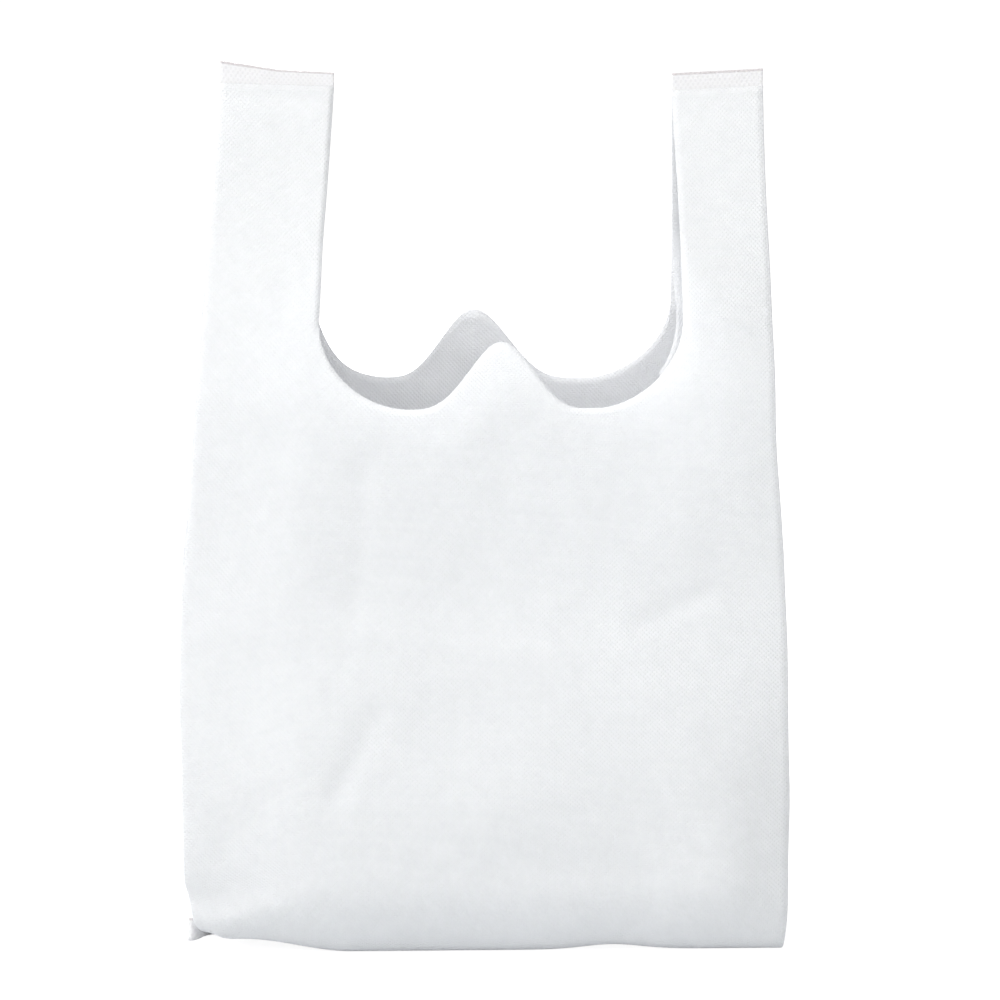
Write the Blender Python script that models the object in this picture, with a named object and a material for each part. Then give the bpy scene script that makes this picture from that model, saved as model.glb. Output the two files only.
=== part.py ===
"""A vest-shaped carrier bag of non-woven fabric, standing open.

One web is folded to a flat tube with a gusset in each side, die cut through all its layers at the mouth and
welded across the bottom and across the top of each handle. Here the web is laid out as one sheet of quads, cut,
folded up into the open bag, given its thickness, and joined by its three welds.

Metres, +Z up. The front panel faces -Y, the left handle is at -X, and the bag stands on z = 0.
"""

import math
from collections import namedtuple

import bmesh
import bpy
from mathutils import Vector

# Fabric
FABRIC = 0.00045            # thickness of the spunbond web
LAYER_GAP = 0.00015         # air left between two layers that lie together

# Body
BODY_WIDTH = 0.302          # across a panel, from fold to fold
HEIGHT = 0.443              # from the floor to the top of the handles, at their middles
BASE_DEPTH = 0.086          # front to back, at the floor
MOUTH_DEPTH = 0.072         # front to back, at the side folds beside the mouth
BASE_ROUND = 0.016          # radius with which a panel turns under the bag
PANEL_BULGE = 0.007         # how far a panel stands out at mid height, against its folds
SIDE_LEAN = 0.0165          # how far each side leans in at the top of the handles
LEAN_START = 0.12           # height above which the sides lean in
CORNER_DRAW = 0.007         # how far the bottom corners are drawn in, short of the weld's ends
CORNER_FADE = 0.03          # height over which that dies out
TUCK_RISE = 0.022           # how far the weld pushes the gusset's inner fold up, at the base
TUCK_FADE = 0.11            # height over which that rise dies out

# Die cut
CUT_HEIGHT = 0.281          # bottom of the two hollows in the mouth
HOLLOW_ROUND = 0.042        # radius between a hollow and its handle
TONGUE_RISE = 0.032         # height of the tongue above the hollows
TONGUE_FOOT = 0.070         # width of the tongue at its foot
TONGUE_SHIFT = 0.0050       # the die sat this far to the right of the middle
LEFT_HANDLE = 0.063         # width of the folded left handle
RIGHT_HANDLE = 0.048        # width of the folded right handle
GUSSET_PAST_HANDLE = 0.003  # the gusset is this much deeper than the wider handle

# Welds
SEAL = 0.009                # width of a weld band
LEFT_SLANT = 0.006          # the left handle's top is trimmed askew, this much higher at its outer corner
SEAL_THICK = 0.0017         # four layers, pressed together
SEAL_SPREAD = 0.0002        # how far the pressed fabric spreads past the folds
SEAL_ENTRY = 0.001          # how far the layers run into a band
BEAD_WIDTH = 0.0026         # root of the bottom weld, where the layers turn into it
BEAD_HEIGHT = 0.0036
FLOOR_CLEAR = 0.00005       # the bottom band lies this much clear of the floor
FIN_RAMP = 0.008            # length over which the back panel comes down behind the bottom band

# Divisions
HANDLE_DIVISIONS = 3
ROUND_DIVISIONS = 5
TONGUE_DIVISIONS = 5
TURN_DIVISIONS = 4
BODY_DIVISIONS = 5
MOUTH_DIVISIONS = 5
STRAP_DIVISIONS = 7
FAN_DROP = 0.07             # the rows begin to follow the cut this far below it

# Worked out from the sizes above
PITCH = FABRIC + LAYER_GAP
HALF_PITCH = PITCH / 2
HALF_WIDTH = BODY_WIDTH / 2
GUSSET = max(LEFT_HANDLE, RIGHT_HANDLE) + GUSSET_PAST_HANDLE
FLOOR_RUN = BASE_DEPTH / 2 - BASE_ROUND
SEAL_LIFT = FLOOR_CLEAR + SEAL_THICK + LAYER_GAP
SEAL_REACH = SEAL + LAYER_GAP
RAMP_END = SEAL_REACH + FIN_RAMP
TURN_RUN = BASE_ROUND * math.pi / 2
BASE_RUN = FLOOR_RUN + TURN_RUN
SHOULDER = CUT_HEIGHT + HOLLOW_ROUND
STRAP_TOP = HEIGHT - SEAL + SEAL_ENTRY
STACK = 1.5 * PITCH

# A column of the sheet: its layer and side, its place in a fold, its flat distance from the middle, and the
# height of the cut there. A column of a handle runs on to the weld.
Column = namedtuple("Column", "layer side turn across cut handle")


def smooth(share):
    """Eases from 0 to 1 as the share goes from 0 to 1."""
    share = min(max(share, 0.0), 1.0)
    return share * share * (3 - 2 * share)


def mix(first, last, share):
    return first + (last - first) * share


# The path of a panel, from the bottom weld out along the floor, round and up to the top

def run_to(height):
    """Length of web from the bottom weld to this height of the upright panel."""
    return BASE_RUN + height - FABRIC / 2 - BASE_ROUND


def half_depth(height):
    """Distance of a side fold from the middle plane, for the upright part of the bag."""
    if height > CUT_HEIGHT:
        share = (height - CUT_HEIGHT) / (STRAP_TOP - SEAL_ENTRY - CUT_HEIGHT)
        ease = (1 + math.cos(math.pi * min(share, 1.0) ** 1.25)) / 2
        return mix(STACK, MOUTH_DEPTH / 2, ease)
    share = (height - LEAN_START) / (CUT_HEIGHT - LEAN_START)
    return mix(BASE_DEPTH / 2, MOUTH_DEPTH / 2, smooth(share))


def path(run):
    """Where a panel lies at this length from the weld: outward, up, and how far it has turned upright."""
    if run <= FLOOR_RUN:
        return run, FABRIC / 2, 0.0
    if run <= BASE_RUN:
        angle = (run - FLOOR_RUN) / BASE_ROUND
        out = FLOOR_RUN + BASE_ROUND * math.sin(angle)
        return out, FABRIC / 2 + BASE_ROUND * (1 - math.cos(angle)), angle
    height = FABRIC / 2 + BASE_ROUND + run - BASE_RUN
    return half_depth(height), height, math.pi / 2


def over_the_seal(out):
    """How far the back panel is lifted, where it passes over the bottom band."""
    return SEAL_LIFT * (1 - smooth((out - SEAL_REACH) / FIN_RAMP))


def side_scale(run, height):
    """Width of the bag at this place, as a share of its flat width."""
    lean = SIDE_LEAN * max(height - LEAN_START, 0) / (HEIGHT - LEAN_START)
    corner = CORNER_DRAW * smooth(run / BASE_RUN) * (1 - smooth((run - BASE_RUN) / CORNER_FADE))
    return 1 - (lean + corner) / HALF_WIDTH


def bulge(across, height):
    """How far a panel stands out from the line between its folds."""
    rise = math.sin(math.pi * min(height / HEIGHT, 1.0))
    return PANEL_BULGE * rise * (1 - (across / HALF_WIDTH) ** 2)


def panel_point(facing, across, run):
    """A point of the front panel (facing -1) or the back one (facing 1)."""
    out, up, angle = path(run)
    lift = over_the_seal(out) if facing > 0 and angle == 0 else 0.0
    return Vector((across * side_scale(run, up), facing * (out + bulge(across, up)), up + lift))


def into_the_bag(facing, run):
    """The direction across the layers, from a panel into the bag."""
    angle = path(run)[2]
    return Vector((0, -facing * math.sin(angle), math.cos(angle)))


def inner_fold(facing, side, run):
    """The end of one half of a gusset, which is its inner fold below the cut."""
    fold = panel_point(-1, side * HALF_WIDTH, run)
    out = -fold.y
    rise = TUCK_RISE * smooth(run / BASE_RUN) * (1 - smooth((run - BASE_RUN) / TUCK_FADE))
    parting = smooth((fold.z - CUT_HEIGHT) / (SHOULDER + HOLLOW_ROUND - CUT_HEIGHT))
    lean_back = mix(HALF_PITCH, max(out - PITCH, HALF_PITCH), parting)
    reach = math.sqrt(max(GUSSET**2 - (out - lean_back) ** 2 - rise**2, PITCH**2))
    reach *= side_scale(run, fold.z)
    root_lift = (SEAL_LIFT + PITCH) * (1 - smooth(run / FLOOR_RUN))
    return Vector((fold.x - side * reach, facing * lean_back, fold.z + rise + root_lift))


def place(column, run):
    """Where a point of the flat web lies in the open bag."""
    facing = -1 if column.layer in ("front", "front gusset") else 1
    if column.layer in ("front", "back"):
        return panel_point(facing, column.across, run)

    side = column.side
    fold = panel_point(facing, side * HALF_WIDTH, run)
    inward = into_the_bag(facing, run)
    if column.turn == "outer":
        return fold + inward * HALF_PITCH
    start = fold + inward * PITCH + Vector((-side * HALF_PITCH, 0, 0))
    end = inner_fold(facing, side, run)
    if column.turn == "inner":
        return Vector((end.x, 0, end.z))
    end += Vector((side * HALF_PITCH, 0, 0))
    into = HALF_WIDTH - abs(column.across)
    return start.lerp(end, (into - HALF_PITCH) / (GUSSET - PITCH))


# The die cut

def cut_outline():
    """Points of the cut, from the left handle's inner edge to the right one's: across, and height."""
    left = -HALF_WIDTH + LEFT_HANDLE
    right = HALF_WIDTH - RIGHT_HANDLE
    corner = []
    for step in range(ROUND_DIVISIONS + 1):
        angle = math.pi / 2 * step / ROUND_DIVISIONS
        corner.append((HOLLOW_ROUND * (1 - math.cos(angle)), SHOULDER - HOLLOW_ROUND * math.sin(angle)))
    tongue = []
    for step in range(2 * TONGUE_DIVISIONS + 1):
        share = step / TONGUE_DIVISIONS - 1
        rise = TONGUE_RISE * (1 + math.cos(math.pi * share)) / 2
        tongue.append((TONGUE_SHIFT + share * TONGUE_FOOT / 2, CUT_HEIGHT + rise))
    points = [(left + into, height) for into, height in corner]
    points += tongue
    points += [(right - into, height) for into, height in reversed(corner)]
    return points


def cut_at(across, outline):
    """Height of the cut at this distance from the middle."""
    for (x0, z0), (x1, z1) in zip(outline, outline[1:]):
        if x0 <= across <= x1:
            return mix(z0, z1, (across - x0) / (x1 - x0))
    return SHOULDER


# The flat web

def handle_columns(layer, side, width):
    """Columns across one handle, from its fold to its inner edge."""
    columns = []
    for step in range(HANDLE_DIVISIONS + 1):
        into = mix(HALF_PITCH, width, step / HANDLE_DIVISIONS)
        columns.append(Column(layer, side, None, side * (HALF_WIDTH - into), SHOULDER, True))
    return columns


def panel_columns(layer, outline):
    """Columns across a whole panel, from left to right."""
    columns = handle_columns(layer, -1, LEFT_HANDLE)
    columns += [Column(layer, 0, None, x, z, False) for x, z in outline[1:-1]]
    columns += reversed(handle_columns(layer, 1, RIGHT_HANDLE))
    return columns


def gusset_half_columns(layer, side, outline):
    """Columns across one half of a gusset, from its outer fold to its inner one."""
    width = RIGHT_HANDLE if side > 0 else LEFT_HANDLE
    columns = [Column(layer, side, "outer", side * HALF_WIDTH, SHOULDER, True)]
    columns += handle_columns(layer, side, width)
    last = HALF_WIDTH - GUSSET + HALF_PITCH
    edges = [point for point in outline if last < side * point[0] < HALF_WIDTH - width]
    if side > 0:
        edges.reverse()
    columns += [Column(layer, side, None, x, z, False) for x, z in edges]
    columns.append(Column(layer, side, None, side * last, cut_at(side * last, outline), False))
    return columns


def gusset_columns(side, outline):
    """Columns across a whole gusset, from the front panel to the back one."""
    middle = side * (HALF_WIDTH - GUSSET)
    fold = Column("front gusset", side, "inner", middle, cut_at(middle, outline), False)
    front = gusset_half_columns("front gusset", side, outline)
    back = gusset_half_columns("back gusset", side, outline)
    return front + [fold] + back[::-1]


def ring_columns(outline):
    """All columns, once round the bag from the middle of the back panel."""
    front = panel_columns("front", outline)
    back = panel_columns("back", outline)[::-1]
    seam = min(range(len(back)), key=lambda i: abs(back[i].across - TONGUE_SHIFT))
    right = gusset_columns(1, outline)
    left = gusset_columns(-1, outline)[::-1]
    return back[seam:] + left + front + right + back[:seam + 1]


def row_runs(column):
    """Lengths of web from the bottom weld at which this column's points lie."""
    runs = [0.0, SEAL_REACH, RAMP_END]
    runs += [mix(FLOOR_RUN, BASE_RUN, step / TURN_DIVISIONS) for step in range(TURN_DIVISIONS)]
    fan = run_to(CUT_HEIGHT - FAN_DROP)
    runs += [mix(BASE_RUN, fan, step / BODY_DIVISIONS) for step in range(BODY_DIVISIONS)]
    edge = run_to(column.cut)
    runs += [mix(fan, edge, step / MOUTH_DIVISIONS) for step in range(MOUTH_DIVISIONS)]
    top = run_to(STRAP_TOP)
    runs += [mix(edge, top, step / STRAP_DIVISIONS) for step in range(STRAP_DIVISIONS + 1)]
    return runs


def make_web(name):
    """The web as one sheet: laid out flat, die cut, and folded up into the open bag."""
    columns = ring_columns(cut_outline())
    runs = [row_runs(column) for column in columns]
    last_column = len(columns) - 1
    last_row = len(runs[0]) - 1
    cut_row = last_row - STRAP_DIVISIONS

    bm = bmesh.new()
    bmesh.ops.create_grid(bm, x_segments=last_column, y_segments=last_row, size=0.5)
    cell = {}
    for vert in bm.verts:
        cell[vert] = (round((vert.co.x + 0.5) * last_column), round((vert.co.y + 0.5) * last_row))

    offcuts = []
    for face in bm.faces:
        above = min(cell[vert][1] for vert in face.verts) >= cut_row
        handle = all(columns[cell[vert][0]].handle for vert in face.verts)
        if above and not handle:
            offcuts.append(face)
    bmesh.ops.delete(bm, geom=offcuts, context="FACES")

    for vert in bm.verts:
        across, up = cell[vert]
        vert.co = place(columns[across], runs[across][up])
    seam = [vert for vert in bm.verts if cell[vert][0] in (0, last_column)]
    bmesh.ops.remove_doubles(bm, verts=seam, dist=LAYER_GAP / 10)
    bmesh.ops.recalc_face_normals(bm, faces=bm.faces)

    mesh = bpy.data.meshes.new(name)
    bm.to_mesh(mesh)
    bm.free()
    return add_object(name, mesh)


# The welds

def add_object(name, mesh):
    obj = bpy.data.objects.new(name, mesh)
    bpy.context.scene.collection.objects.link(obj)
    return obj


def make_box(name, low, high):
    """A closed box between two corners."""
    low = Vector(low)
    high = Vector(high)
    bm = bmesh.new()
    bmesh.ops.create_cube(bm, size=1.0)
    bmesh.ops.scale(bm, vec=high - low, verts=bm.verts)
    bmesh.ops.translate(bm, vec=(low + high) / 2, verts=bm.verts)
    mesh = bpy.data.meshes.new(name)
    bm.to_mesh(mesh)
    bm.free()
    box = add_object(name, mesh)
    box.hide_render = True
    box.display_type = "WIRE"
    return box


def make_top_seal(name, side, width, slant):
    """The band that presses the four layers of a handle together, with its top trimmed at a slant."""
    scale = side_scale(run_to(HEIGHT), HEIGHT)
    outer = HALF_WIDTH * scale + SEAL_SPREAD
    inner = (HALF_WIDTH - width) * scale - SEAL_SPREAD
    ends = sorted((side * outer, side * inner))
    band = make_box(name, (ends[0], -SEAL_THICK / 2, HEIGHT - SEAL), (ends[1], SEAL_THICK / 2, HEIGHT))
    for vert in band.data.vertices:
        if vert.co.z > HEIGHT - SEAL / 2:
            vert.co.z += slant * ((abs(vert.co.x) - inner) / (outer - inner) - 0.5)
    return band


def make_bottom_seals():
    """The bottom band lies flat under the back panel, and its root takes in all the layers."""
    end = HALF_WIDTH + SEAL_SPREAD
    root = make_box(
        "bottom_seal_root",
        (-end, -BEAD_WIDTH / 2, FLOOR_CLEAR),
        (end, BEAD_WIDTH / 2, FLOOR_CLEAR + BEAD_HEIGHT),
    )
    band = make_box("bottom_seal_band", (-end, 0, FLOOR_CLEAR), (end, SEAL, FLOOR_CLEAR + SEAL_THICK))
    return [root, band]


def fabric_material():
    """White spunbond polypropylene."""
    material = bpy.data.materials.new("spunbond_polypropylene")
    material.use_nodes = True
    shader = material.node_tree.nodes["Principled BSDF"]
    shader.inputs["Base Color"].default_value = (0.86, 0.87, 0.88, 1)
    shader.inputs["Roughness"].default_value = 0.75
    shader.inputs["Metallic"].default_value = 0.0
    return material


def make_bag():
    bag = make_web("bag")
    thickness = bag.modifiers.new("fabric", "SOLIDIFY")
    thickness.thickness = FABRIC
    thickness.offset = 0.0
    thickness.use_even_offset = True
    welds = make_bottom_seals()
    welds.append(make_top_seal("left_seal", -1, LEFT_HANDLE, LEFT_SLANT))
    welds.append(make_top_seal("right_seal", 1, RIGHT_HANDLE, 0.0))
    for weld in welds:
        join = bag.modifiers.new(weld.name, "BOOLEAN")
        join.operation = "UNION"
        join.solver = "EXACT"
        join.object = weld
    bag.data.materials.append(fabric_material())
    return bag


for old in list(bpy.data.objects):
    bpy.data.objects.remove(old, do_unlink=True)
make_bag()
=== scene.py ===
"""A white non-woven carrier bag, standing open: the folded web, its welds, a pale studio and the camera.

Metres, +Z up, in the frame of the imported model. The front panel faces -Y.
"""

import math
from collections import namedtuple

import bmesh
import bpy
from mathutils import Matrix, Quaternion, Vector, noise


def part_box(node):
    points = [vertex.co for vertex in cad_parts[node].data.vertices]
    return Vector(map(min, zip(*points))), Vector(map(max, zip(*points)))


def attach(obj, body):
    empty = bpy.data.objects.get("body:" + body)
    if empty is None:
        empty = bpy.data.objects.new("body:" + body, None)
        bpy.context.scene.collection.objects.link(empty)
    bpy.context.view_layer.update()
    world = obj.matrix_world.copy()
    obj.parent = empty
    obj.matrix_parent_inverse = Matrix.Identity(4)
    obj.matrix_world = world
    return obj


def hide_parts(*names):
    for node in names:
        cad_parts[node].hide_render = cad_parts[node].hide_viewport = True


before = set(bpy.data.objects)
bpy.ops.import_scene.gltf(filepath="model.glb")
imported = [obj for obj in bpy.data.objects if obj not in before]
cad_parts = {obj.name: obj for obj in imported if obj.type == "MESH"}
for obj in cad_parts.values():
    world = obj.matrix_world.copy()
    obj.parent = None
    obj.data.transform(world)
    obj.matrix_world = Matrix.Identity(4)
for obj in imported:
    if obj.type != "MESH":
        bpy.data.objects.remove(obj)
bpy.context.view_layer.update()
bag_low, bag_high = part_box("bag")

# Fabric
FABRIC = 0.00042            # thickness of the web
LAYER_GAP = 0.00013         # air between two layers that lie together
CELL = 0.0036               # size of the quads that the web is laid out in

# Sizes taken from the frame
HEIGHT = bag_high.z - 0.0025   # top of the handles, at their middles
HALF_WIDTH = (bag_high.x - bag_low.x) / 2 - FABRIC

# Body
BASE_HALF = 0.043           # half the depth of the base, at the side folds
MOUTH_HALF = 0.036          # half the depth at the side folds beside the mouth
TURN_DEPTH = 0.014          # depth over which the panels turn under
TURN_HEIGHT = 0.036         # height over which they do so
LEFT_TURN_DEPTH = 0.008     # the same at the left folds, where the turn is sharper
LEFT_TURN_HEIGHT = 0.016
LEFT_PART = 0.075           # how far left of the middle a panel begins to behave as at its left fold
LEFT_PART_WIDTH = 0.070     # and how much further left it does so fully
LEFT_CORNER_LIFT = 0.007    # how far the left bottom corners are pulled up off the floor
LEFT_FOLD_LIFT = 0.004      # how much further the left folds themselves are pulled up
ARCH = 0.0026               # how far the front bottom edge is arched off the floor, right of the middle
ARCH_AT = 0.066
ARCH_WIDTH = 0.020
MOUTH_START = 0.085         # height above which the bag narrows towards its mouth, front to back
MOUTH_END = 0.21
CLOSING = 1.4               # how the handles close towards their bands: 1 is evenly, and more is later
CLOSED_SHORT = 0.002        # how far below the bands they are closed
TUCK_RISE = 0.022           # how far the bottom weld pushes the gusset's inner fold up
TUCK_FADE = 0.11
GUSSET_BOW = 0.0026         # how far the halves of a gusset bow out
GUSSET_DRIFT = 0.0012       # and how far they wander
HANDLE_SWAY = 0.0012        # how far the layers of a handle wander to the front or back together
SIDE_WAVER = 0.0006

# Swell of the panels
SWELL = 0.0096              # how far a panel stands out from the line between its folds
SWELL_LOSS = 0.0036         # how much less it does near the mouth, except at the left
LEFT_SLOPES = (10.4, 8.4)   # degrees by which a panel rises from its left fold, at the floor and at the cut
RIGHT_SLOPE = 2.2           # degrees by which it rises from its right fold
RIGHT_SLOPE_LOW = 16.0      # degrees that this gains towards the floor
LEFT_BLEND = 0.0022         # how softly the slopes run out into the middle
RIGHT_BLEND = 0.0034
SWELL_FOOT = 0.042          # height over which the swell sets in above the floor
LEFT_SWELL_FOOT = 0.014
MOUTH_SAG = 0.002           # how far the panels curl out at the mouth

# How far a side stands in from HALF_WIDTH at each height
LEFT_SIDE = (
    (0.0, 0.0014), (0.09, 0.0013), (0.135, 0.0), (0.175, 0.0008), (0.22, 0.0042),
    (0.33, 0.0126), (0.38, 0.0167), (HEIGHT, 0.0215),
)
RIGHT_SIDE = (
    (0.0, -0.0030), (0.05, -0.0038), (0.10, -0.0026), (0.15, -0.0012), (0.20, 0.0012),
    (0.26, 0.0062), (0.33, 0.0095), (0.40, 0.0127), (HEIGHT, 0.0129),
)

# How far the left bottom corner is drawn in, at each length of web from the bottom weld
LEFT_FOOT = (
    (0.0, 0.0045), (0.020, 0.0095), (0.0295, 0.0105), (0.040, 0.0055), (0.048, 0.0036),
    (0.065, 0.0012), (0.085, 0.0),
)

# How far a handle's inner edge has crept to the right, at each height
LEFT_CREEP = ((0.33, 0.0), (0.36, 0.0004), (0.40, 0.0018), (HEIGHT, 0.0030))
RIGHT_CREEP = ((0.28, 0.0), (0.33, 0.0013), (0.38, 0.0013), (HEIGHT, -0.0012))

# Die cut, measured on the flat web
CUT_HEIGHT = 0.2815
LEFT_HOLLOW = 0.0465        # the corner between a hollow and its handle, across
RIGHT_HOLLOW = 0.0460
HOLLOW_UP = 0.042           # and up
TONGUE_RISE = 0.0362
FRONT_TONGUE_SAG = 0.0036   # the front tongue has sunk a little
TONGUE_FOOT = 0.094         # width of the tongue where it runs out into the hollows
TONGUE_POINT = 1.6          # how much narrower it is than a plain wave
TONGUE_SHIFT = 0.0045       # how far to the right of the middle the die sat
FRONT_SKEW = 0.0032         # how far the front panel's middle has crept to the right at the mouth
BACK_SKEW = -0.0065         # the same for the back panel, which has crept to the left
LEFT_HANDLE = 0.0615        # width of the folded handles
RIGHT_HANDLE = 0.0485
GUSSET = 0.066              # width of one half of a gusset
LEFT_HANDLE_TURN = math.radians(1.6)    # how far the handles' tops are turned, each down towards the middle
RIGHT_HANDLE_TURN = math.radians(3.0)

# Welds
SEAL = 0.0090               # height of the bands across the handles, between their lower edges and HEIGHT
SEAL_THICK = 0.0015
SEAL_ENTRY = 0.0006         # how far the layers run into a band
LEFT_BAND_LIFT = 0.0009     # where the bands begin, against HEIGHT - SEAL
RIGHT_BAND_LIFT = -0.0010
BASE_SEAL = 0.009           # width of the bottom band
BASE_BAND_THICK = SEAL_THICK * 0.7
BASE_BAND_SHORT = 0.0034    # how far the bottom band ends short of HALF_WIDTH at the left
BASE_BAND_PAST = 0.0028     # and past it at the right
SEAL_RAMP = 0.016           # length over which the back panel comes down behind the bottom band
CURL_START = 0.1345         # distance to the left of the middle at which the bottom band begins to curl up
CURL_LENGTH = 0.0115
CURL_TILT = math.radians(82)
CURL_FORWARD = 0.012        # how far its curled end lies to the front
CURL_GROWTH = 0.30          # and how much wider it is there, as a share

# Where the bands of the handles are cut, against HEIGHT: at their outer ends, middles and inner ends
LEFT_TRIM = (0.0034, -0.0002, -0.0008)
RIGHT_TRIM = (0.0, 0.0, 0.0)

# Patterns of the cloth and of the bands, in real sizes
BOND_SPACING = 0.0016       # between the points at which the fibres are bonded
BOND_DEPTH = 0.00015
PAD_LENGTH = 0.0026         # spacing of the pressed pads along a band
PAD_HEIGHT = 0.0030         # and across it
PAD_DEPTH = 0.00011

# Worked out from the sizes above
PITCH = FABRIC + LAYER_GAP
STACK = 1.5 * PITCH         # from the middle of four layers to the outermost one
TURN_START = BASE_HALF - TURN_DEPTH + (TURN_DEPTH + TURN_HEIGHT) * math.pi / 4 - TURN_HEIGHT
SHOULDER = CUT_HEIGHT + HOLLOW_UP
STRAP_TOP = HEIGHT - SEAL + SEAL_ENTRY

# Quads
FAN_DROP = 0.07             # the rows begin to follow the cut this far below it
FLOOR_ROWS = 6
TURN_ROWS = 14
BODY_ROWS = round((CUT_HEIGHT - FAN_DROP - TURN_HEIGHT) / CELL)
FAN_ROWS = round(FAN_DROP / CELL)
STRAP_ROWS = round((STRAP_TOP - SHOULDER) / CELL)
TOP_BAND_QUADS = (60, 12)   # along a band and across it
BASE_BAND_QUADS = (150, 5)

# A column of the web: its layer and side, its place in a fold ("outer" or "inner"), its flat distance from
# the middle, the height of the cut there, whether it runs on into a handle, and its distance round the web
Column = namedtuple("Column", "layer side turn across cut handle around")

# How a panel turns under: length of web on the floor, length in the turn, and the turn's depth and height
Turn = namedtuple("Turn", "floor arc depth height")


def smooth(share):
    """Eases from 0 to 1 as the share goes from 0 to 1."""
    share = min(max(share, 0.0), 1.0)
    return share * share * (3 - 2 * share)


def mix(first, last, share):
    """The value at this share of the way from the first to the last."""
    return first + (last - first) * share


def soft_min(first, second, blend):
    """The smaller of two values, rounded over where they meet."""
    share = min(max(0.5 + (second - first) / (2 * blend), 0), 1)
    return mix(second, first, share) - blend * share * (1 - share)


def wander(x, y, size, seed):
    """A slow, smooth, repeatable wander between about -1 and 1."""
    return noise.noise(Vector((x / size, y / size, seed)))


def trace(line, at):
    """The value at one place on a smooth line through a few points, each a place and its value."""
    at = min(max(at, line[0][0]), line[-1][0])
    last = len(line) - 1
    step = next(i for i in range(last) if at <= line[i + 1][0])
    (start, low), (end, high) = line[step], line[step + 1]

    def slope(i):
        before, after = line[max(i - 1, 0)], line[min(i + 1, last)]
        return (after[1] - before[1]) / (after[0] - before[0])

    length = end - start
    share = (at - start) / length
    eased = share * share * (3 - 2 * share)
    swing = share * (1 - share) ** 2 * slope(step) - share * share * (1 - share) * slope(step + 1)
    return mix(low, high, eased) + length * swing


# The form of the panels: soft folds, each from one point of a panel to another, with its rise and its width

Fold = namedtuple("Fold", "start end rise width")

FRONT_FOLDS = (
    Fold((-0.062, 0.255), (-0.066, 0.160), -0.0006, 0.005),   # faint upright crease below the left hollow
    Fold((-0.054, 0.128), (-0.074, 0.088), -0.0011, 0.006),   # short slanting crease, low on the left
    Fold((0.078, 0.172), (0.112, 0.186), -0.0010, 0.005),     # small wrinkles, right of the middle
    Fold((0.086, 0.184), (0.104, 0.166), -0.0006, 0.004),
    Fold((-0.110, 0.080), (-0.128, 0.062), -0.0012, 0.011),   # dent low on the left
    Fold((-0.050, 0.068), (0.000, 0.072), 0.0030, 0.038),     # broad low swelling
    Fold((0.010, 0.050), (0.080, 0.040), -0.0008, 0.012),     # the base pulls the panel in here
    Fold((-0.020, 0.262), (0.010, 0.288), 0.0007, 0.010),     # the tongue curls a little forward
)

BACK_FOLDS = (
    Fold((0.060, 0.250), (0.085, 0.130), -0.0010, 0.008),     # faint creases down from the hollows
    Fold((-0.090, 0.240), (-0.060, 0.120), -0.0009, 0.007),
    Fold((-0.040, 0.090), (0.050, 0.070), 0.0024, 0.040),     # broad low swelling
    Fold((0.020, 0.200), (0.070, 0.215), -0.0008, 0.006),     # small wrinkles
    Fold((-0.110, 0.070), (-0.080, 0.110), -0.0010, 0.008),
    Fold((-0.010, 0.275), (0.004, 0.295), -0.0012, 0.009),    # the tongue curls a little forward
    Fold((0.025, 0.245), (0.095, 0.245), 0.0085, 0.030),      # below the right hollow: its edge curls in
)


def fold_rise(folds, across, up):
    """How far the folds push a panel out at this place."""
    total = 0.0
    for fold in folds:
        start = Vector(fold.start)
        along = Vector(fold.end) - start
        from_start = Vector((across, up)) - start
        share = min(max(from_start.dot(along) / along.length_squared, 0), 1)
        away = (from_start - along * share).length / fold.width
        total += fold.rise * math.exp(-away * away)
    return total


def bulge(facing, across, up):
    """How far a panel stands out from the line between its folds."""
    fade = 1 - smooth((up - CUT_HEIGHT) / (STRAP_TOP - 0.02 - CUT_HEIGHT))
    left_slope = mix(*LEFT_SLOPES, up / CUT_HEIGHT)
    right_slope = RIGHT_SLOPE + RIGHT_SLOPE_LOW * (1 - smooth((up - 0.04) / 0.15))
    left_rise = (across + HALF_WIDTH) * math.tan(math.radians(left_slope))
    right_rise = (HALF_WIDTH - across) * math.tan(math.radians(right_slope))
    middle = SWELL - SWELL_LOSS * smooth((up - 0.06) / 0.2) * smooth((across + 0.07) / 0.08)
    form = soft_min(soft_min(left_rise, middle, LEFT_BLEND), right_rise, RIGHT_BLEND)
    # what the blends leave at a fold comes off again
    form -= soft_min(soft_min(0, middle, LEFT_BLEND), 2 * HALF_WIDTH, RIGHT_BLEND)
    left = smooth((-across - LEFT_PART) / LEFT_PART_WIDTH)
    form *= smooth(up / mix(SWELL_FOOT, LEFT_SWELL_FOOT, left))
    edge = smooth((HALF_WIDTH - abs(across)) / 0.02)
    folds = fold_rise(FRONT_FOLDS if facing < 0 else BACK_FOLDS, across, up)
    broad = 0.0011 * wander(across, up, 0.055, facing * 3.1)
    fine = 0.0004 * wander(across, up, 0.022, facing * 7.7)
    drift = broad + fine
    sag = MOUTH_SAG * smooth((up - 0.2) / 0.08) * smooth(1 - abs(across) / 0.09)
    return fade * (form + edge * (folds + drift * smooth(up / 0.04)) + sag)


# The path of a panel, from the bottom weld out along the floor, round and up to the top

def run_to(up):
    """Length of web from the bottom weld to this height of the upright panel."""
    return TURN_START + up - FABRIC / 2


def turn_at(across):
    """How a panel turns under at this distance from the middle."""
    left = smooth((-across - LEFT_PART) / LEFT_PART_WIDTH)
    depth = mix(TURN_DEPTH, LEFT_TURN_DEPTH, left)
    height = mix(TURN_HEIGHT, LEFT_TURN_HEIGHT, left)
    arc = (depth + height) * math.pi / 4
    return Turn(TURN_START - arc + height, arc, depth, height)


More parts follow.
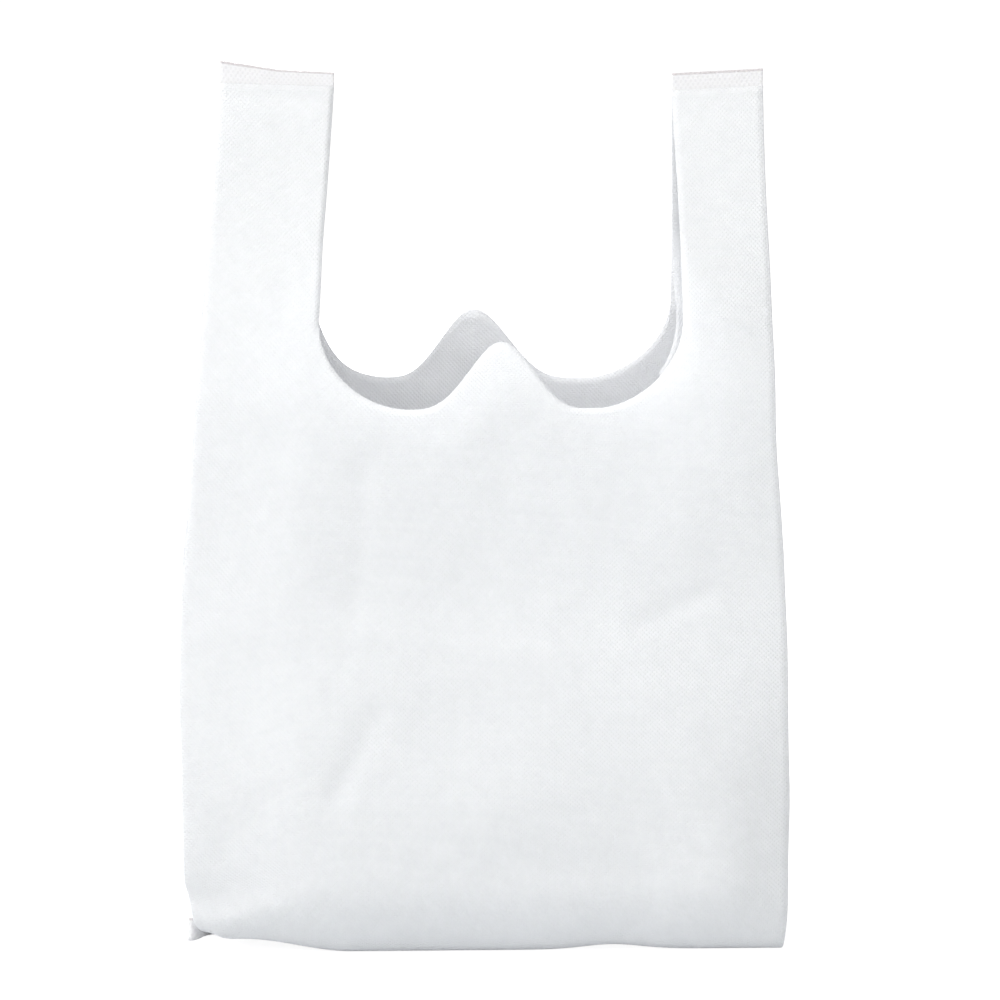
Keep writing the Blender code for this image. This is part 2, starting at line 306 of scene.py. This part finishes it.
def half_depth(up):
    """Distance of a side fold from the middle plane, for the upright part of the bag."""
    if up > CUT_HEIGHT:
        share = (up - CUT_HEIGHT) / (STRAP_TOP - SEAL_ENTRY - CLOSED_SHORT - CUT_HEIGHT)
        ease = 1 - min(share, 1.0) ** CLOSING
        return mix(STACK, MOUTH_HALF, ease)
    narrowed = smooth((up - MOUTH_START) / (MOUTH_END - MOUTH_START))
    return mix(BASE_HALF, MOUTH_HALF, narrowed)


def path(across, run):
    """Where a panel lies at this length from the weld: outward, up, and how far it has turned upright."""
    turn = turn_at(across)
    if run <= turn.floor:
        return run, FABRIC / 2, 0.0
    if run <= turn.floor + turn.arc:
        angle = (run - turn.floor) / turn.arc * math.pi / 2
        out = turn.floor + turn.depth * math.sin(angle)
        return out, FABRIC / 2 + turn.height * (1 - math.cos(angle)), angle
    up = run - TURN_START + FABRIC / 2
    swept_back = BASE_HALF - turn.floor - turn.depth
    return half_depth(up) - swept_back * (1 - smooth((up - turn.height) / 0.05)), up, math.pi / 2


def over_the_seal(out):
    """How far the back panel is lifted, where it passes over the bottom band."""
    return (SEAL_THICK + 2 * LAYER_GAP) * (1 - smooth((out - BASE_SEAL) / SEAL_RAMP))


def side_scale(across, run, up):
    """Width of the bag at this place, as a share of its flat width."""
    inward = trace(LEFT_SIDE, up) + trace(LEFT_FOOT, run) if across < 0 else trace(RIGHT_SIDE, up)
    waver = SIDE_WAVER * wander(up, 0.0, 0.035, 5.0 if across < 0 else 9.0)
    return 1 - (inward + waver) / HALF_WIDTH


def creep(across, up):
    """How far a handle's cloth has crept to the right: none at its fold, most at its inner edge."""
    if up < RIGHT_CREEP[0][0]:
        return 0.0
    line, width = (LEFT_CREEP, LEFT_HANDLE) if across < 0 else (RIGHT_CREEP, RIGHT_HANDLE)
    into = HALF_WIDTH - abs(across)
    return trace(line, up) * min(into / width, 1) * (1 - smooth((into - width) / 0.05))


def top_slant(across, up):
    """How far a handle's turn lifts a point near its top."""
    turn, width = (LEFT_HANDLE_TURN, LEFT_HANDLE) if across < 0 else (RIGHT_HANDLE_TURN, RIGHT_HANDLE)
    share = smooth((up - SHOULDER) / (HEIGHT - SHOULDER))
    return share * math.tan(turn) * (abs(across) - HALF_WIDTH + width / 2)


def skew(facing, across, up):
    """How far the middle of a panel has crept sideways at the mouth."""
    share = smooth((up - 0.16) / 0.12)
    if facing < 0:
        return FRONT_SKEW * share * smooth(1.1 - abs(across) / 0.09)
    return BACK_SKEW * share * smooth((across + 0.092) / 0.035) * smooth((0.060 - across) / 0.060)


def base_lift(facing, across, run):
    """How far a panel's bottom edge is off the floor: pulled up at the left, arched a little at the right."""
    turn = turn_at(across)
    rise = smooth(run / (0.5 * turn.floor)) * (1 - smooth((run - turn.floor - turn.arc) / 0.03))
    corner = LEFT_CORNER_LIFT * smooth((-across - 0.070) / 0.060)
    corner += LEFT_FOLD_LIFT * smooth((-across - 0.137) / 0.013)
    arch = ARCH * math.exp(-((across - ARCH_AT) / ARCH_WIDTH) ** 2) if facing < 0 else 0.0
    return rise * (corner + arch)


def sway(across, up):
    """How far all the layers of a handle wander to the front or back together."""
    return HANDLE_SWAY * wander(across, up, 0.06, 21.0) * smooth((up - CUT_HEIGHT) / 0.05)


def panel_point(facing, across, run):
    """A point of the front panel (facing -1) or the back one (facing 1)."""
    out, up, angle = path(across, run)
    lift = over_the_seal(out) if facing > 0 and angle == 0 else 0.0
    lift += base_lift(facing, across, run) + top_slant(across, up)
    if facing < 0 and abs(across) < TONGUE_FOOT / 2:
        lift -= FRONT_TONGUE_SAG * smooth((up - CUT_HEIGHT) / TONGUE_RISE)
    x = across * side_scale(across, run, up) + skew(facing, across, up) + creep(across, up)
    return Vector((x, facing * (out + bulge(facing, across, up)), up + lift))


def inner_fold(facing, side, run):
    """The end of one half of a gusset, which is its inner fold below the cut."""
    fold = panel_point(-1, side * HALF_WIDTH, run)
    out = -fold.y
    turn = turn_at(side * HALF_WIDTH)
    up = path(side * HALF_WIDTH, run)[1]
    rise = TUCK_RISE * smooth(run / (turn.floor + turn.arc))
    rise *= 1 - smooth((run - turn.floor - turn.arc) / TUCK_FADE)
    parting = smooth((up - CUT_HEIGHT) / (SHOULDER + HOLLOW_UP - CUT_HEIGHT))
    lean_back = mix(PITCH / 2, max(out - PITCH, PITCH / 2), parting)
    reach = math.sqrt(max(GUSSET**2 - (out - lean_back) ** 2 - rise**2, PITCH**2))
    reach *= side_scale(side * HALF_WIDTH, run, up)
    root = (SEAL_THICK + 2 * LAYER_GAP + PITCH) * (1 - smooth(run / turn.floor))
    slant = top_slant(side * (HALF_WIDTH - GUSSET), up) - top_slant(side * HALF_WIDTH, up)
    return Vector((fold.x - side * reach, facing * lean_back, fold.z + rise + root + slant))


def place(column, run):
    """Where a point of the flat web lies in the open bag."""
    facing = -1 if column.layer in ("front", "front gusset") else 1
    followed = column.across if column.layer in ("front", "back") else column.side * HALF_WIDTH
    up, angle = path(followed, run)[1:]
    swayed = Vector((0, sway(column.across, up), 0))
    if column.layer in ("front", "back"):
        return panel_point(facing, column.across, run) + swayed
    side = column.side
    fold = panel_point(facing, side * HALF_WIDTH, run) + swayed
    inward = Vector((0, -facing * math.sin(angle), math.cos(angle)))
    if column.turn == "outer":
        return fold + inward * PITCH / 2
    start = fold + inward * PITCH + Vector((-side * PITCH / 2, 0, 0))
    end = inner_fold(facing, side, run) + swayed
    if column.turn == "inner":
        return Vector((end.x, end.y - facing * PITCH / 2, end.z))
    end += Vector((side * PITCH / 2, 0, 0))
    share = (HALF_WIDTH - abs(column.across) - PITCH / 2) / (GUSSET - PITCH)
    point = start.lerp(end, share)
    open_share = 1 - smooth((up - CUT_HEIGHT) / 0.07)
    bow = GUSSET_BOW * math.sin(math.pi * share) * smooth(up / 0.06) * open_share
    wandered = wander(share * GUSSET, up, 0.04, side * 4.0 + facing)
    drift = GUSSET_DRIFT * wandered * math.sin(math.pi * share) * open_share
    against_the_panel = bulge(facing, column.across, up) * smooth((up - CUT_HEIGHT) / 0.05)
    along = side * (bow + drift) * 0.6 + creep(column.across, up)
    return point + Vector((along, facing * (against_the_panel - (bow + drift) * 0.3), 0))


# The die cut

def cut_outline():
    """Points of the cut, from the left handle's inner edge to the right one's: across, and height."""
    left = -HALF_WIDTH + LEFT_HANDLE
    right = HALF_WIDTH - RIGHT_HANDLE
    left_corner = hollow_corner(LEFT_HOLLOW)
    right_corner = hollow_corner(RIGHT_HOLLOW)
    tongue = []
    tongue_steps = 14
    for step in range(2 * tongue_steps + 1):
        share = step / tongue_steps - 1
        rise = TONGUE_RISE * ((1 + math.cos(math.pi * share)) / 2) ** TONGUE_POINT
        tongue.append((TONGUE_SHIFT + share * TONGUE_FOOT / 2, CUT_HEIGHT + rise))
    points = [(left + into, up) for into, up in left_corner]
    points += flat_stretch(points[-1], tongue[0]) + tongue
    far_corner = [(right - into, up) for into, up in reversed(right_corner)]
    points += flat_stretch(tongue[-1], far_corner[0]) + far_corner
    return points


def hollow_corner(across):
    """Points of about a quarter of an ellipse, from a handle's edge down into its hollow."""
    steps = 18
    squareness = 1.08
    corner = []
    for step in range(steps + 1):
        angle = math.pi / 2 * step / steps
        into = across * (1 - math.cos(angle) ** squareness)
        corner.append((into, SHOULDER - HOLLOW_UP * math.sin(angle) ** squareness))
    return corner


def flat_stretch(start, end):
    """Points between two others, a cell apart, without the ends."""
    count = max(int((end[0] - start[0]) / CELL), 1)
    shares = [step / count for step in range(1, count)]
    return [(mix(start[0], end[0], share), mix(start[1], end[1], share)) for share in shares]


def cut_at(across, outline):
    """Height of the cut at this distance from the middle."""
    for (x0, z0), (x1, z1) in zip(outline, outline[1:]):
        if x0 <= across <= x1:
            return mix(z0, z1, (across - x0) / (x1 - x0))
    return SHOULDER


# The flat web

def handle_columns(layer, side, width):
    """Columns across one handle, from its fold to its inner edge."""
    count = round(width / CELL)
    steps = [mix(PITCH / 2, width, step / count) for step in range(count + 1)]
    return [Column(layer, side, None, side * (HALF_WIDTH - into), SHOULDER, True, 0) for into in steps]


def panel_columns(layer, outline):
    """Columns across a whole panel, from left to right."""
    columns = handle_columns(layer, -1, LEFT_HANDLE)
    columns += [Column(layer, 0, None, x, z, False, 0) for x, z in outline[1:-1]]
    columns += reversed(handle_columns(layer, 1, RIGHT_HANDLE))
    return columns


def gusset_half_columns(layer, side, outline):
    """Columns across one half of a gusset, from its outer fold to its inner one."""
    width = RIGHT_HANDLE if side > 0 else LEFT_HANDLE
    columns = [Column(layer, side, "outer", side * HALF_WIDTH, SHOULDER, True, 0)]
    columns += handle_columns(layer, side, width)
    last = HALF_WIDTH - GUSSET + PITCH / 2
    edges = [point for point in outline if last < side * point[0] < HALF_WIDTH - width]
    if side > 0:
        edges.reverse()
    columns += [Column(layer, side, None, x, z, False, 0) for x, z in edges]
    columns.append(Column(layer, side, None, side * last, cut_at(side * last, outline), False, 0))
    return columns


def gusset_columns(side, outline):
    """Columns across a whole gusset, from the front panel to the back one."""
    middle = side * (HALF_WIDTH - GUSSET)
    fold = Column("front gusset", side, "inner", middle, cut_at(middle, outline), False, 0)
    front = gusset_half_columns("front gusset", side, outline)
    back = gusset_half_columns("back gusset", side, outline)
    return front + [fold] + back[::-1]


def ring_columns(outline):
    """All columns, once round the bag from the middle of the back panel, with their distances round it."""
    front = panel_columns("front", outline)
    back = panel_columns("back", outline)[::-1]
    seam = min(range(len(back)), key=lambda i: abs(back[i].across - TONGUE_SHIFT))
    right = gusset_columns(1, outline)
    left = gusset_columns(-1, outline)[::-1]
    ring = back[seam:] + left + front + right + back[:seam + 1]
    around = 0.0
    placed = [ring[0]._replace(around=0.0)]
    for last, column in zip(ring, ring[1:]):
        around += max(abs(column.across - last.across), PITCH)
        placed.append(column._replace(around=around))
    return placed


def row_runs(column):
    """Lengths of web from the bottom weld at which this column's points lie."""
    turn = turn_at(column.across if column.layer in ("front", "back") else column.side * HALF_WIDTH)
    base = turn.floor + turn.arc
    fan = run_to(CUT_HEIGHT - FAN_DROP)
    edge = run_to(column.cut)
    top = run_to(STRAP_TOP + (LEFT_BAND_LIFT if column.side < 0 else 0.0))
    stops = [(0.0, turn.floor), (turn.floor, base), (base, fan), (fan, edge), (edge, top)]
    counts = [FLOOR_ROWS, TURN_ROWS, BODY_ROWS, FAN_ROWS, STRAP_ROWS]
    runs = []
    for (low, high), count in zip(stops, counts):
        runs += [mix(low, high, step / count) for step in range(count)]
    return runs + [top]


def make_web(name):
    """The web as one sheet: laid out flat, die cut, and folded up into the open bag."""
    columns = ring_columns(cut_outline())
    runs = [row_runs(column) for column in columns]
    last_column = len(columns) - 1
    last_row = len(runs[0]) - 1
    cut_row = last_row - STRAP_ROWS

    bm = bmesh.new()
    flat = bm.loops.layers.uv.new("flat_web")
    bmesh.ops.create_grid(bm, x_segments=last_column, y_segments=last_row, size=0.5)
    cell = {}
    for vert in bm.verts:
        cell[vert] = (round((vert.co.x + 0.5) * last_column), round((vert.co.y + 0.5) * last_row))
    for face in bm.faces:
        for loop in face.loops:
            across, up = cell[loop.vert]
            loop[flat].uv = (columns[across].around, runs[across][up])

    offcuts = []
    for face in bm.faces:
        above = min(cell[vert][1] for vert in face.verts) >= cut_row
        handle = all(columns[cell[vert][0]].handle for vert in face.verts)
        if above and not handle:
            offcuts.append(face)
    bmesh.ops.delete(bm, geom=offcuts, context="FACES")

    for vert in bm.verts:
        across, up = cell[vert]
        vert.co = place(columns[across], runs[across][up])
    seam = [vert for vert in bm.verts if cell[vert][0] in (0, last_column)]
    bmesh.ops.remove_doubles(bm, verts=seam, dist=LAYER_GAP / 10)
    bmesh.ops.recalc_face_normals(bm, faces=bm.faces)
    web = finish_mesh(name, bm)
    thickness = web.modifiers.new("fabric", "SOLIDIFY")
    thickness.thickness = FABRIC
    thickness.offset = 0.0
    thickness.use_even_offset = True
    return web


def finish_mesh(name, bm):
    """Makes an object of a bmesh, shaded smooth."""
    for face in bm.faces:
        face.smooth = True
    mesh = bpy.data.meshes.new(name)
    bm.to_mesh(mesh)
    bm.free()
    obj = bpy.data.objects.new(name, mesh)
    bpy.context.scene.collection.objects.link(obj)
    return obj


# The welds

def make_band(name, quads, size, lay, thickness):
    """A pressed band: a strip of quads of a given length and height, laid by a function, made thick."""
    length, height = size
    bm = bmesh.new()
    flat = bm.loops.layers.uv.new("flat_web")
    bmesh.ops.create_grid(bm, x_segments=quads[0], y_segments=quads[1], size=0.5)
    for vert in bm.verts:
        vert.co = Vector((vert.co.x + 0.5, vert.co.y + 0.5, 0))
    for face in bm.faces:
        for loop in face.loops:
            loop[flat].uv = (loop.vert.co.x * length, loop.vert.co.y * height)
    for vert in bm.verts:
        vert.co = lay(vert.co.x, vert.co.y)
    band = finish_mesh(name, bm)
    slab = band.modifiers.new("pressed", "SOLIDIFY")
    slab.thickness = thickness
    slab.offset = 0.0
    return band


def make_top_weld(name, side, width, trim, lift):
    """The band that presses the four layers of a handle together, trimmed at its top."""
    def lay(share, rise):
        across = side * (HALF_WIDTH - width * share)
        base = panel_point(-1, across, run_to(HEIGHT - SEAL))
        outer, middle, inner = trim
        cut = mix(outer, middle, share / 0.5) if share < 0.5 else mix(middle, inner, (share - 0.5) / 0.5)
        z = mix(base.z + lift, base.z + SEAL + cut, rise)
        return Vector((base.x, sway(across, HEIGHT - SEAL), z))

    return make_band(name, TOP_BAND_QUADS, (width, SEAL), lay, SEAL_THICK)


def make_base_weld():
    """The bottom band, lying flat under the back panel, with its left end turned up beside the corner."""
    def lay(share, rise):
        x = mix(-HALF_WIDTH + BASE_BAND_SHORT, HALF_WIDTH + BASE_BAND_PAST, share)
        curl = smooth((-x - CURL_START) / CURL_LENGTH)
        tilt = CURL_TILT * curl
        reach = rise * BASE_SEAL * (1 + CURL_GROWTH * curl)
        y = -0.001 - CURL_FORWARD * curl + reach * math.cos(tilt)
        z = SEAL_THICK / 2 + 0.0001 + reach * math.sin(tilt)
        return Vector((x + 0.0005 * curl * rise, y, z))

    return make_band("base_weld", BASE_BAND_QUADS, (2 * HALF_WIDTH, BASE_SEAL), lay, BASE_BAND_THICK)


# Materials

def linear(code):
    """A colour written as sRGB hex, as linear values."""
    channels = [int(code[i:i + 2], 16) / 255 for i in (1, 3, 5)]
    return [c / 12.92 if c <= 0.04045 else ((c + 0.055) / 1.055) ** 2.4 for c in channels] + [1.0]


def add(tree, kind, settings=(), **links):
    """Adds a node, sets its fields and its sockets, and links what is given as a socket."""
    node = tree.nodes.new(kind)
    for field, value in dict(settings).items():
        setattr(node, field, value)
    for socket, value in links.items():
        name = socket.replace("_", " ")
        target = node.inputs[int(name[1:])] if name[0] == "i" and name[1:].isdigit() else node.inputs[name]
        if isinstance(value, bpy.types.NodeSocket):
            tree.links.new(value, target)
        else:
            target.default_value = value
    return node


def spunbond(name, colour):
    """Spunbond polypropylene: fine fibres, spun, laid and pressed together between rollers at rows of points.

    It looks matt and soft, with faint clouds where the fibres lie thicker, and lets some light through. The
    points of such cloth are about 0.8 mm apart. Here they are 1.6 mm apart, so that they show.
    """
    material = bpy.data.materials.new(name)
    material.use_nodes = True
    tree = material.node_tree
    shader = tree.nodes["Principled BSDF"]
    web = add(tree, "ShaderNodeUVMap", {"uv_map": "flat_web"})
    turned = add(tree, "ShaderNodeMapping", Vector=web.outputs[0], Rotation=(0, 0, math.radians(45)))
    bonds = add(tree, "ShaderNodeTexVoronoi", {"voronoi_dimensions": "2D"},
                Vector=turned.outputs[0], Scale=1 / BOND_SPACING, Randomness=0.12)
    pressed = add(tree, "ShaderNodeMapRange", {"interpolation_type": "SMOOTHSTEP"},
                  Value=bonds.outputs["Distance"], From_Min=0.18, From_Max=0.42, To_Min=0.0, To_Max=1.0)
    # waves of about 0.7 mm for the fibres, far coarser than real ones of about 0.02 mm,
    # and clouds of about 11 mm
    fibres = add(tree, "ShaderNodeTexNoise", {"noise_dimensions": "2D"},
                 Vector=web.outputs[0], Scale=1400.0, Detail=4.0, Roughness=0.65, Distortion=0.6)
    clouds = add(tree, "ShaderNodeTexNoise", {"noise_dimensions": "2D"},
                 Vector=web.outputs[0], Scale=90.0, Detail=5.0, Roughness=0.6, Distortion=0.3)
    tone = add(tree, "ShaderNodeMapRange", Value=clouds.outputs[0], From_Min=0.3, From_Max=0.7,
               To_Min=0.968, To_Max=1.0)
    shade = add(tree, "ShaderNodeMix", {"data_type": "RGBA", "blend_type": "MULTIPLY"})
    shade.inputs[0].default_value = 1.0
    shade.inputs[6].default_value = linear(colour)
    tree.links.new(tone.outputs[0], shade.inputs[7])
    tree.links.new(shade.outputs[2], shader.inputs["Base Color"])
    height = add(tree, "ShaderNodeMath", {"operation": "MULTIPLY_ADD"},
                 i0=fibres.outputs[0], i1=0.35, i2=pressed.outputs[0])
    bump = add(tree, "ShaderNodeBump", Height=height.outputs[0], Distance=BOND_DEPTH, Strength=1.0)
    tree.links.new(bump.outputs[0], shader.inputs["Normal"])
    set_polypropylene(shader, 0.62)
    return material


def set_polypropylene(shader, roughness):
    """What the loose cloth and the pressed cloth share: a matt plastic that lets some light through."""
    shader.inputs["Roughness"].default_value = roughness
    shader.inputs["IOR"].default_value = 1.49
    shader.inputs["Specular IOR Level"].default_value = 0.3
    shader.inputs["Sheen Weight"].default_value = 0.08
    shader.inputs["Subsurface Weight"].default_value = 0.55
    shader.inputs["Subsurface Radius"].default_value = (1.0, 1.0, 1.05)
    shader.inputs["Subsurface Scale"].default_value = 0.0016


def welded(name):
    """Polypropylene cloth welded by an ultrasonic bar: rows of small pads, a little greyer and glossier.

    The pads are drawn twice as far apart as real ones, so that they show. The band's cut top is melted into a
    thin, darker line.
    """
    material = bpy.data.materials.new(name)
    material.use_nodes = True
    tree = material.node_tree
    shader = tree.nodes["Principled BSDF"]
    web = add(tree, "ShaderNodeUVMap", {"uv_map": "flat_web"})
    split = add(tree, "ShaderNodeSeparateXYZ", i0=web.outputs[0])
    along = add(tree, "ShaderNodeMath", {"operation": "MULTIPLY"},
                i0=split.outputs[0], i1=2 * math.pi / PAD_LENGTH)
    up = add(tree, "ShaderNodeMath", {"operation": "MULTIPLY"},
             i0=split.outputs[1], i1=2 * math.pi / PAD_HEIGHT)
    columns = add(tree, "ShaderNodeMath", {"operation": "SINE"}, i0=along.outputs[0])
    rows = add(tree, "ShaderNodeMath", {"operation": "SINE"}, i0=up.outputs[0])
    both = add(tree, "ShaderNodeMath", {"operation": "MULTIPLY"}, i0=columns.outputs[0], i1=rows.outputs[0])
    pads = add(tree, "ShaderNodeMapRange", {"interpolation_type": "SMOOTHSTEP"},
               Value=both.outputs[0], From_Min=0.05, From_Max=0.5, To_Min=0.0, To_Max=1.0)
    melted = add(tree, "ShaderNodeMapRange", {"interpolation_type": "SMOOTHSTEP"}, Value=split.outputs[1],
                 From_Min=SEAL - 0.0013, From_Max=SEAL - 0.0005, To_Min=0.0, To_Max=1.0)
    cloth = add(tree, "ShaderNodeMix", {"data_type": "RGBA"})
    tree.links.new(pads.outputs[0], cloth.inputs[0])
    cloth.inputs[6].default_value = linear("#E9E8E8")
    cloth.inputs[7].default_value = linear("#E4E3E3")
    edge = add(tree, "ShaderNodeMix", {"data_type": "RGBA"})
    tree.links.new(melted.outputs[0], edge.inputs[0])
    tree.links.new(cloth.outputs[2], edge.inputs[6])
    edge.inputs[7].default_value = linear("#CDC8C8")
    tree.links.new(edge.outputs[2], shader.inputs["Base Color"])
    bump = add(tree, "ShaderNodeBump", {"invert": True},
               Height=pads.outputs[0], Distance=PAD_DEPTH, Strength=1.0)
    tree.links.new(bump.outputs[0], shader.inputs["Normal"])
    set_polypropylene(shader, 0.42)
    return material


# The studio

FLOOR_HALF = 6.0
FLOOR_CLEAR = 0.0002        # how far the floor lies below the bag, so that the two don't flicker
ROOM_LIGHT = 0.48
LIGHT_AIM = (0, 0, 0.25)

# Each light's name, place, size and power
LIGHTS = (
    ("key", (-3.3, -2.2, 3.2), 2.6, 154.0),         # large and soft, from the upper left
    ("fill", (0.5, -1.8, 0.8), 1.6, 6.5),           # weak, from the front
    ("overhead", (-0.2, -0.7, 2.6), 1.8, 17.5),     # for the handles and the inside
    ("glow", (-0.3, 1.8, 0.38), 0.7, 19.0),         # from behind, so that some light comes through the cloth
)


def make_studio():
    """A white sweep and a pale room, with the lights of LIGHTS."""
    bm = bmesh.new()
    bmesh.ops.create_grid(bm, x_segments=1, y_segments=1, size=FLOOR_HALF)
    floor = finish_mesh("floor", bm)
    floor.location.z = -FLOOR_CLEAR
    material = bpy.data.materials.new("white_paper_sweep")
    material.use_nodes = True
    tree = material.node_tree
    tree.nodes.clear()
    rays = add(tree, "ShaderNodeLightPath")
    seen = add(tree, "ShaderNodeMath", {"operation": "MAXIMUM"}, i0=rays.outputs["Is Camera Ray"],
               i1=rays.outputs["Is Glossy Ray"])
    # the bag is lit by plain paper, and the camera sees it bright enough to be white outside the shadow
    paper = add(tree, "ShaderNodeBsdfDiffuse", Color=linear("#DCDEE0"))
    bright_paper = add(tree, "ShaderNodeBsdfDiffuse", Color=(0.3, 0.3, 0.3, 1))
    white = add(tree, "ShaderNodeEmission", Color=(1, 1, 1, 1), Strength=0.9)
    lit = add(tree, "ShaderNodeAddShader", i0=bright_paper.outputs[0], i1=white.outputs[0])
    mixed = add(tree, "ShaderNodeMixShader", i0=seen.outputs[0], i1=paper.outputs[0], i2=lit.outputs[0])
    out = add(tree, "ShaderNodeOutputMaterial", Surface=mixed.outputs[0])
    out.is_active_output = True
    floor.data.materials.append(material)

    world = bpy.data.worlds.new("soft_room")
    bpy.context.scene.world = world
    world.use_nodes = True
    tree = world.node_tree
    tree.nodes.clear()
    rays = add(tree, "ShaderNodeLightPath")
    seen = add(tree, "ShaderNodeMath", {"operation": "MAXIMUM"}, i0=rays.outputs["Is Camera Ray"],
               i1=rays.outputs["Is Transmission Ray"])
    room = add(tree, "ShaderNodeBackground", Color=(0.98, 0.99, 1.0, 1), Strength=ROOM_LIGHT)
    white = add(tree, "ShaderNodeBackground", Color=(1, 1, 1, 1), Strength=1.0)
    mixed = add(tree, "ShaderNodeMixShader", i0=seen.outputs[0], i1=room.outputs[0], i2=white.outputs[0])
    add(tree, "ShaderNodeOutputWorld", Surface=mixed.outputs[0])

    for light in LIGHTS:
        add_light(*light)


def add_light(name, place_at, size, power):
    """A square soft light that points at the middle of the bag."""
    light = bpy.data.lights.new(name, "AREA")
    light.shape = "SQUARE"
    light.size = size
    light.energy = power
    obj = bpy.data.objects.new(name, light)
    obj.location = place_at
    obj.rotation_euler = (Vector(LIGHT_AIM) - Vector(place_at)).to_track_quat("-Z", "Y").to_euler()
    bpy.context.scene.collection.objects.link(obj)


# The camera: a little to the left of the bag and above it, as in the photograph

SENSOR = 36.0               # millimetres
CAMERA_AZIMUTH = math.radians(-3.5)
CAMERA_ELEVATION = math.radians(12.0)
CAMERA_DISTANCE = 2.3
CAMERA_AIM = (0.0098, 0.0, 0.2268)
CAMERA_ROLL = math.radians(0.6)
FRAME_WIDTH = 0.503         # metres across the picture, at the aim


def make_camera():
    """A long lens, aimed at the middle of the bag and rolled a little."""
    camera = bpy.data.cameras.new("camera")
    camera.sensor_width = SENSOR
    camera.lens = SENSOR * CAMERA_DISTANCE / FRAME_WIDTH
    camera.clip_start = 0.05
    camera.clip_end = 50.0
    obj = bpy.data.objects.new("camera", camera)
    back = Vector((
        math.sin(CAMERA_AZIMUTH) * math.cos(CAMERA_ELEVATION),
        -math.cos(CAMERA_AZIMUTH) * math.cos(CAMERA_ELEVATION),
        math.sin(CAMERA_ELEVATION),
    ))
    obj.location = Vector(CAMERA_AIM) + back * CAMERA_DISTANCE
    roll = Quaternion((0, 0, 1), CAMERA_ROLL)
    obj.rotation_euler = ((-back).to_track_quat("-Z", "Y") @ roll).to_euler()
    bpy.context.scene.collection.objects.link(obj)
    bpy.context.scene.camera = obj


def dress(piece, material):
    """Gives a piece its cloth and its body."""
    piece.data.materials.append(material)
    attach(piece, "root")


def make_bag():
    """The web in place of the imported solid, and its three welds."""
    cloth = spunbond("spunbond_polypropylene", "#F6F7FA")
    pressed = welded("pressed_polypropylene")
    web = make_web("bag_web")
    dress(web, cloth)
    welds = [
        make_top_weld("left_weld", -1, LEFT_HANDLE, LEFT_TRIM, LEFT_BAND_LIFT),
        make_top_weld("right_weld", 1, RIGHT_HANDLE, RIGHT_TRIM, RIGHT_BAND_LIFT),
        make_base_weld(),
    ]
    for weld in welds:
        dress(weld, pressed)
    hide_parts("bag")


make_bag()
make_studio()
make_camera()
bpy.context.scene.view_settings.view_transform = "Standard"
